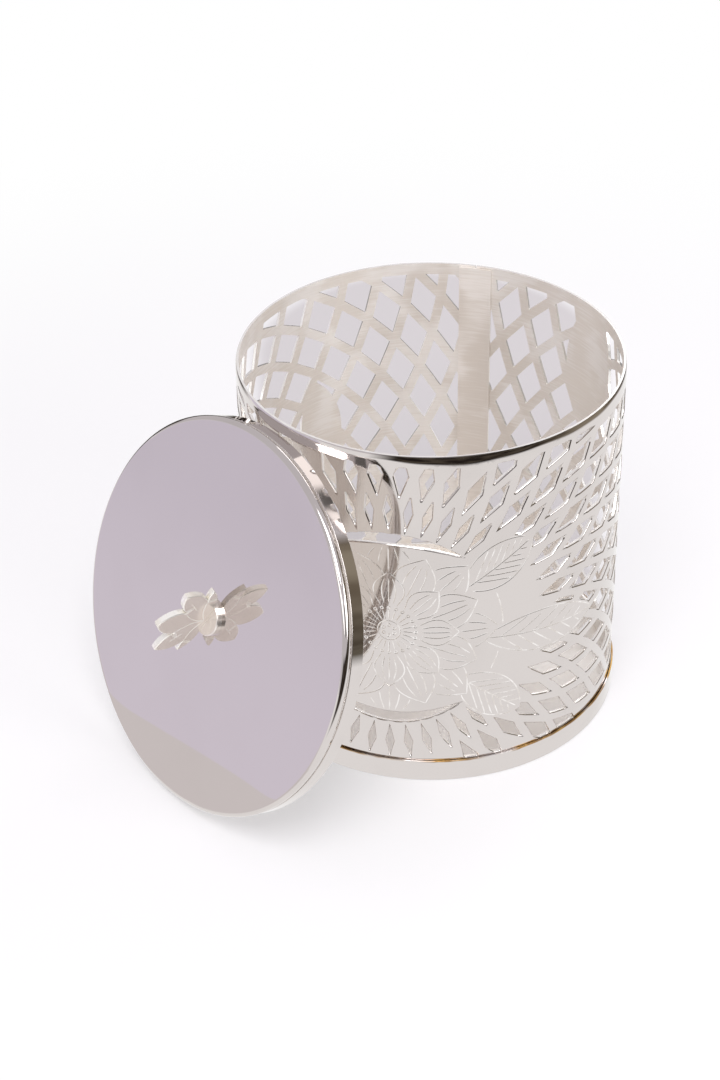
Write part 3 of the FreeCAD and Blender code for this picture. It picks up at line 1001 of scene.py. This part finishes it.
lid_reach = lid_depth * math.cos(lid_lean) + skirt_outer * math.sin(lid_lean)
lid_rise = skirt_outer * math.cos(lid_lean) + lid_depth * math.sin(lid_lean)
lid_middle = np.array([-(wall_radius + lean_gap + lid_reach), 0.0, lid_rise])
lid_axes = np.array([
    (math.sin(lid_lean), 0.0, math.cos(lid_lean)),
    (0.0, 1.0, 0.0),
    (-math.cos(lid_lean), 0.0, math.sin(lid_lean)),
])
print("middle of the lid in mm:", lid_middle.round(1))


def leaned(points, face_tables, normals):
    """A piece from the lid's own frame to the leaning lid; its faces stay as they are."""
    return points @ lid_axes + lid_middle, face_tables, normals @ lid_axes

# %% [markdown]
# ## The lid's face
# The disc is a mirror above and satin below, and the CAD disc is one mesh. Its finish tells the
# two faces apart by how far a point lies along the lid's normal.

# %% Lid face
def two_faced_plate(name, normal, level):
    """Mirror where a point's distance along a normal passes a level, in metres, and satin under it."""
    material, g = new_finish(name)
    place = g.place()
    above = g.ease(g.along(place, normal), level - 0.0001, level + 0.0001)
    clouds = g.ease(g.noise(place, 30.0, 3.0), 0.42, 0.75)
    brushed = g.noise(g.stretched(place, (1.0, 12.0, 1.0)), 120.0, 3.0)
    mirror = g.blend(clouds * 0.3, silver, clouded_silver)
    g.surface(
        Base_Color=g.blend(above, g.blend(brushed, satin_shade, satin_silver), mirror),
        Metallic=1.0,
        Roughness=0.13 + 0.08 * brushed + above * (0.02 * clouds - 0.08 * brushed - 0.10),
        Normal=g.bump(g.noise(place, 20.0, 1.0), 0.00001),
    )
    return material


lid_normal = lid_axes[2]
lid_level = lid_middle @ lid_normal - disc_sheet / 2
lid_mirror = two_faced_plate("lid_mirror", lid_normal.tolist(), lid_level * MM)

# %% [markdown]
# ## Bead and skirt
# A half-round wire is soldered round the disc, and under it a band goes over the wall when the
# lid is on. Both are spun like the foot band. The bead's normals are typed beside its points,
# because its back has sharp steps. The skirt's faces nearer the axis get the satin finish.

# %% Bead and skirt
lid_steps, skirt_corner, bead_lip = 320, 0.16, 0.05
bead_turn = np.linspace(math.pi / 2, -math.pi / 2, 33)
bead_arc = np.stack([np.cos(bead_turn), np.sin(bead_turn)], axis=1)
bead_middle = np.array([disc_radius, -bead_diameter / 2])
bead_inner = disc_radius - bead_diameter / 2
bead_seat = disc_radius - bead_slack
bead_back = np.array([
    (bead_inner, -bead_diameter), (bead_inner, -disc_sheet),
    (bead_seat, -disc_sheet), (bead_seat, -bead_lip)])
bead_profile = np.concatenate([(bead_middle + bead_diameter / 2 * bead_arc), bead_back])[::-1]
bead_slopes = np.concatenate([bead_arc, [(0, -1), (-1, 0), (0, 1), (-1, 0)]])[::-1]
bead = leaned(*turned(bead_profile, bead_slopes, lid_steps))
add_piece("lid_edge_bead", *bead, (bead_polish,), "lid", "polished_plate", "lid_bead")

skirt_profile = soft_profile(rectangle(skirt_inner, -lid_depth, skirt_outer, -bead_diameter), skirt_corner)
skirt = turned(*skirt_profile, lid_steps)
from_axis = np.linalg.norm(skirt[0][skirt[1][0]].mean(1)[:, :2], axis=1)
add_piece("lid_skirt_band", *leaned(*skirt), (bead_polish, inside_satin),
          "lid", "polished_plate", "lid_skirt", from_axis < (skirt_inner + skirt_outer) / 2)

# %% [markdown]
# ## The finial
# A lotus sawn from thick plate stands on a turned collar. It is cut as the wall was: an outline,
# engraved strokes between the petals, and a chamfer, which is only a groove along the outline.

# %% Lotus outline
collar_height = 1.8
lotus_height, lotus_half_width, lotus_thickness = 18.0, 13.0, 2.0
lotus_turn = math.radians(-22.0)
across_shares = np.array([0.0, 0.34, 0.885, 0.685, 1.0, 0.32])
up_shares = np.array([1.0, 0.55, 0.735, 0.235, 0.23, 0.0])
bulge_shares = np.array([0.16, 0.14, 0.16, 0.10, 0.14])


def bulged(start, end, bulge, count=9):
    """Arc that stands off its chord by a share of the chord, to the left."""
    return arc(start, end, bulge * np.linalg.norm(end - start), count)


half_points = np.stack([lotus_half_width * across_shares, collar_height + lotus_height * up_shares], axis=1)
right_side = np.concatenate([
    bulged(a, b, bulge)[:-1] for a, b, bulge in zip(half_points[:-1], half_points[1:], bulge_shares)]
    + [half_points[-1:]])
left_side = right_side[::-1] * [-1, 1]
lotus_outline = np.concatenate([right_side, left_side[:-1]])[::-1]
print("points of the lotus outline:", len(lotus_outline))

# %% [markdown]
# Strokes run from the foot to the notches between petals, and a short vein stands in each side
# petal. Front and back are the same triangles, so that the lotus looks alike from both sides.

# %% Lotus strokes
foot = np.array([0.0, collar_height + 1.0])
notch, low_notch = half_points[1], half_points[3]
lotus_strokes = []
for hand in (1, -1):
    mirror = np.array([hand, 1])
    for target, bulge in ((notch, 0.12), (low_notch, 0.10)):
        lotus_strokes.append(all_shown(bulged(foot * mirror, target * mirror, bulge * hand, 14)))
    vein = np.linspace(0.45, 0.7, 6)[:, None] * (half_points[2] - foot) + foot
    lotus_strokes.append(all_shown(vein * mirror))

plate = Drawing()
plate_outline = plate.outline(lotus_outline)
stroke_half_width, stroke_cut = 0.16, 0.06
chamfer, chamfer_depth_share = 0.25, 0.7
for stroke, shown in lotus_strokes:
    plate.groove(stroke, shown, stroke_half_width)
closed, shown = all_shown(np.concatenate([lotus_outline, lotus_outline[:1]]))
plate.line(side_lines(closed, chamfer)[0], shown)
flat_plate, plate_triangles = plate.triangles()
lotus_faces = both_faces(plate_triangles[plate.lies_in([plate_outline])], len(flat_plate))
plate_depth = np.maximum(
    groove_depth(flat_plate, lotus_strokes, stroke_half_width, stroke_cut),
    groove_depth(flat_plate, [(closed, shown)], chamfer, chamfer * chamfer_depth_share))

# %% Lotus plate
half_thick = lotus_thickness / 2 - plate_depth
lotus_points = np.concatenate([
    np.stack([flat_plate[:, 0], side * half_thick, flat_plate[:, 1]], axis=1) for side in (-1, 1)])
lotus_normals = np.concatenate([flat_normals(lotus_points, faces) for faces in lotus_faces])
# Strokes and cut walls wear finial_edge, a lighter copy of the face finish: painted highlight.
bright = plate_depth[lotus_faces[0]].max(1) > stroke_cut / 3
lotus_finish = np.concatenate([bright, bright, np.ones(len(lotus_faces[2]), bool)])
turn_axes = np.array([
    (math.cos(lotus_turn), math.sin(lotus_turn), 0),
    (-math.sin(lotus_turn), math.cos(lotus_turn), 0),
    (0, 0, 1),
])
add_piece("finial_plate", *leaned(lotus_points @ turn_axes, lotus_faces, lotus_normals @ turn_axes),
          (finial_face, finial_edge), "lid", "finial_plate", "finial_lotus", lotus_finish)

# %% [markdown]
# The collar is turned in one piece with the stud that goes through the lid, its washer and its
# nut. The profile stops just short of the axis, so that no face shrinks to a line.

# %% Collar and stud
collar_radius, stud_radius = 5.5, 1.5
washer_thickness, nut_height, stud_past_nut = 0.6, 2.4, 0.5
stud_end = -(disc_sheet + washer_thickness + nut_height + stud_past_nut)
hollow, seat_drop, collar_steps = 0.05, 0.02, 96
collar_cuts = np.array([0.02, 0.3, 0.02, 0.02, 0.5, 0.02])
collar_profile = soft_profile([
    (hollow, stud_end), (stud_radius, stud_end), (stud_radius, -seat_drop), (collar_radius, 0.0),
    (collar_radius, collar_height), (hollow, collar_height)], collar_cuts[:, None])
add_piece("finial_base", *leaned(*turned(*collar_profile, collar_steps)), (finial_face,),
          "lid", "finial_plate", "finial_collar")

# %% [markdown]
# ## Pieces that stay as CAD made them
# Flat sheets and small fasteners already have the right shape, so they only get a finish.

# %% Finishes for CAD nodes
for node, finish in {
    "seam_strap": strap_satin_painted_sheen,
    "base_plate": floor_satin_painted_light,
    "lid_disc": lid_mirror,
    "finial_washer": brass_fastener,
    "finial_nut": brass_fastener,
}.items():
    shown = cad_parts[node]
    shown.data.materials.clear()
    shown.data.materials.append(finish)
    print(node, "wears", finish.name)

# %% [markdown]
# ## The studio
# Polished metal shows the room more than itself, so the stage is made of what it should show.
# Apart from the floor, the stage pieces are only mirrored: the camera and the lamps' light pass
# them by. Places are given as the camera sees them, to the right, toward it and up.

# %% Stage helpers
def from_camera(right, depth, height):
    """Point right of the view's middle, toward the camera and up, in millimetres."""
    return look_at * [1, 1, 0] + right * level_right + depth * toward_camera + height * skyward


def stage_surface(name, points, faces, finish, only_mirrored=True):
    """A stage piece from points in millimetres; one that is only mirrored casts no shadow."""
    made = new_object(name, np.asarray(points), [np.asarray(faces)], (finish,))
    if only_mirrored:
        made.visible_camera = made.visible_diffuse = made.visible_shadow = False
    return made

# %% [markdown]
# ## Floor
# The floor is white paper. Behind the box a lilac shadow is painted on it, in both its colour and
# its glow, where the far openings show it. White paper far from the box is cut to pure white, as a
# photographer would light it, by mixing in a shader that shines by itself.

# %% Floor
white_paper = (0.93, 0.92, 0.94)
painted_lilac_shadow = (0.68, 0.65, 0.665)
painted_shadow_length, painted_shadow_start, painted_shadow_widening = 200.0, 56.0, 0.1
painted_shadow_soft_from, painted_shadow_soft_to, painted_shadow_lead = 0.84, 0.99, 20.0
white_from, white_to, least_white = 170.0, 420.0, 0.35

paper, g = new_finish("paper")
place = g.place()
# The painted lilac shadow runs from the box away from the camera, widening, with a soft edge.
sight = unit(np.array([-camera_place.x, -camera_place.y, 0.0]))
behind, aside = [g.along(place, axis.tolist()) for axis in (sight, np.cross(sight, skyward))]
past_end = (behind - painted_shadow_length * MM).larger(0.0)
off_line = (aside * aside + past_end * past_end) ** 0.5
off_share = off_line / (painted_shadow_start * MM + painted_shadow_widening * (behind - past_end))
painted_shadow = (1 - g.ease(off_share, painted_shadow_soft_from, painted_shadow_soft_to)) * g.ease(behind, 0.0, painted_shadow_lead * MM)
away = (behind * behind + aside * aside) ** 0.5
whitened = least_white + (1 - least_white) * g.ease(away, white_from * MM, white_to * MM) * (1 - painted_shadow)
path = g.node("ShaderNodeLightPath", output="Is Camera Ray")
mirrored = path.other("Is Glossy Ray").larger(path.other("Is Transmission Ray"))
# Where the painted shadow is 1, the paper's colour and its glow both turn to the painted lilac shadow.
lit = g.node("ShaderNodeBsdfDiffuse", {}, {"Color": g.blend(painted_shadow, white_paper, painted_lilac_shadow)})
g.close(g.mixed(path * whitened + mirrored, lit, g.glow(g.blend(painted_shadow, (1, 1, 1), painted_lilac_shadow))))
reach, drop = 2500.0, -0.3
floor_corners = np.insert(rectangle(-reach, -reach, reach, reach), 2, drop, axis=1)
stage_surface("floor", floor_corners, [range(4)], paper, only_mirrored=False)

# %% [markdown]
# ## Sheets beside the lid
# Seen from the camera, the leaning lid mirrors the floor beside it. An even warm-grey sheet lies
# there, painted shade of the floor by the lid's foot, and past it a lilac one that grows a little
# darker with distance, a painted falloff of light. The lilac sheet's edge is soft: corners are cut
# off a rough outline until it is round.

# %% Sheets beside the lid
sheet_fade_start, sheet_fade_end = -150, -800


def glowing(name, near, far):
    """A glowing stage colour that fades from near to far along the view's right: painted falloff of light.
    """
    material, g = new_finish(name)
    aside = g.along(g.place(), level_right.tolist())
    g.close(g.glow(g.blend(g.ease(aside, sheet_fade_end * MM, sheet_fade_start * MM), far, near)))
    return material


def softened(line, rounds=3):
    """Corner cutting: each round puts points a quarter in from both ends of every run."""
    for _ in range(rounds):
        run = line[1:] - line[:-1]
        cut = np.stack([line[:-1] + run / 4, line[:-1] + run * 3 / 4], axis=1).reshape(-1, 2)
        line = np.concatenate([line[:1], cut, line[-1:]])
    return line


lilac_height, painted_shade_height = -0.1, -0.2
lilac_edge = softened(np.array([
    (-1500, -1200), (-420, -240), (-165, 14), (-137, 30), (-134, 44), (-131, 66), (-127, 82), (-121, 92),
    (-134, 97), (-190, 103), (-500, 300), (-1500, 700)], float))[::-1]
# The warm-grey sheet is painted shade: the floor in the lid's shade, darker than the white paper.
painted_shade_edge = ((-300, -60), (-300, 190), (-70, 150), (-70, -10))
lilac = glowing("lilac", (0.815, 0.772, 0.885), (0.745, 0.705, 0.815))
painted_shade_grey = (0.79, 0.755, 0.765)
painted_shade_glow = glowing("painted_shade_glow", painted_shade_grey, painted_shade_grey)
for name, edge, height, finish in (
    ("lilac_sheet", lilac_edge, lilac_height, lilac), ("painted_shade_sheet", painted_shade_edge, painted_shade_height, painted_shade_glow)):
    stage_surface(name, [from_camera(*place, height) for place in edge], [range(len(edge))], finish)

# %% [markdown]
# ## Dark bowl
# The thin dark lines on the rim and the bead are a dark surround, squeezed together by the curve.
# A low bowl draws them. It fades out at its ends, and on the right it rises and turns olive, which
# the lid's skirt and the wall's right side pick up.

# %% Rings on the stage
def stage_ring(name, turn, rows, finish, **values):
    """Stage piece round the box from rows of (radius, height); values are kept at its points."""
    out = np.sin(turn)[:, None] * level_right + np.cos(turn)[:, None] * toward_camera
    points = from_camera(0, 0, 0) + np.concatenate([
        radius * out + (height + 0 * turn)[:, None] * skyward for radius, height in rows])
    number = np.arange(len(points)).reshape(len(rows), -1)
    corners = [number[:-1, :-1], number[:-1, 1:], number[1:, 1:], number[1:, :-1]]
    made = stage_surface(name, points, np.stack(corners, axis=-1).reshape(-1, 4), finish)
    for attribute, value in values.items():
        made.data.attributes.new(attribute, "FLOAT", "POINT").data.foreach_set("value", value.ravel())

# %% Dark bowl
bowl_start, bowl_end, bowl_fade = np.radians([-32, 243, 14])
tall_middle, tall_spread = np.radians([92, 24])
bowl_turn = np.linspace(bowl_start, bowl_end, 131)
tall = np.exp(-((bowl_turn - tall_middle) / tall_spread) ** 2)
bowl_profile = (
    # radius, height, more height where the bowl is tall, darkness
    (245.0, 0.5, 0.0, 0.0),
    (330.0, 4.0, 0.0, 1.0),
    (440.0, 12.0, 0.0, 1.0),
    (575.0, 145.0, 250.0, 1.0),
    (620.0, 190.0, 340.0, 0.0),
)
bowl_rows = [(radius, low + more * tall) for radius, low, more, _ in bowl_profile]
to_end = np.clip(np.minimum(bowl_turn - bowl_start, bowl_end - bowl_turn) / bowl_fade, 0, 1)
fade = np.outer([darkness for *_, darkness in bowl_profile], to_end)

dark_finish, g = new_finish("dark_bowl")
shade = g.ease(g.noise(g.place(), 9.0), 0.40, 0.62)
brown = g.blend(shade, (0.018, 0.013, 0.011), (0.075, 0.062, 0.047))
olive = g.blend(shade, (0.20, 0.165, 0.12), (0.33, 0.29, 0.225))
dark = g.glow(g.blend(g.attribute("olive"), brown, olive))
g.close(g.mixed(g.attribute("fade"), g.node("ShaderNodeBsdfTransparent"), dark))
stage_ring("dark_bowl", bowl_turn, bowl_rows, dark_finish, fade=fade, olive=np.tile(tall, len(bowl_rows)))

# %% [markdown]
# ## White screen
# A white screen behind the camera lights up the lid's skirt, which shows it by way of the wall.
# The screen has a dark gap in its middle, so the skirt shows a dark break between two white
# stretches. The gap is a bell curve to the fourth power, which has a flat floor.

# %% White screen
screen_turn = np.radians(np.linspace(-55, 75, 131))
screen_radius, screen_foot, screen_top, screen_glow = 900.0, 370.0, 640.0, 1.9
screen_gap, screen_gap_half = np.radians([5, 17])
screen_loss = 0.9
white = 1 - screen_loss * np.exp(-(((screen_turn - screen_gap) / screen_gap_half) ** 4))
screen_rows = [(screen_radius, height) for height in (screen_foot, screen_top)]

screen_finish, g = new_finish("white_screen")
g.close(g.glow(g.blend(g.attribute("white"), (0.0, 0.0, 0.0), (1.0, 1.0, 1.0)), screen_glow))
stage_ring("white_screen", screen_turn, screen_rows, screen_finish, white=np.tile(white, len(screen_rows)))

# %% [markdown]
# ## Lamps and world
# Large soft lamps keep highlights broad. One stands over the camera, so that shadows fall behind
# the box. One on the far side brightens the rim, a third looks into the gap behind the lid, and
# the world fills in from everywhere else.

# %% Lamps and world
def soft_lamp(name, right, depth, height, width, power):
    """Square area lamp that looks at the box."""
    data = bpy.data.lights.new(name, "AREA")
    data.shape = "SQUARE"
    data.size = width * MM
    data.energy = power
    lamp = bpy.data.objects.new(name, data)
    scene.collection.objects.link(lamp)
    place = from_camera(right, depth, height)
    aim = Vector((look_at - place) * MM)
    lamp.location = place * MM
    lamp.rotation_euler = aim.to_track_quat("-Z", "Y").to_euler()
    lamp.visible_camera = False
    print("lamp:", name)


soft_lamp("key_lamp", -60, 560, 900, 500, 4.6)
soft_lamp("far_lamp", 400, -740, 470, 420, 1.2)
soft_lamp("fill_lamp", 640, 480, 330, 360, 1.5)

world = bpy.data.worlds.new("studio")
scene.world = world
g = Graph(world)
path = g.node("ShaderNodeLightPath", output="Is Camera Ray")
room = g.node("ShaderNodeBackground", {}, {"Color": (0.66, 0.64, 0.665, 1), "Strength": 1.0})
pale = g.node("ShaderNodeBackground", {}, {"Color": (1, 1, 1, 1), "Strength": 1.0})
g.close(g.mixed(path, room, pale), "ShaderNodeOutputWorld")
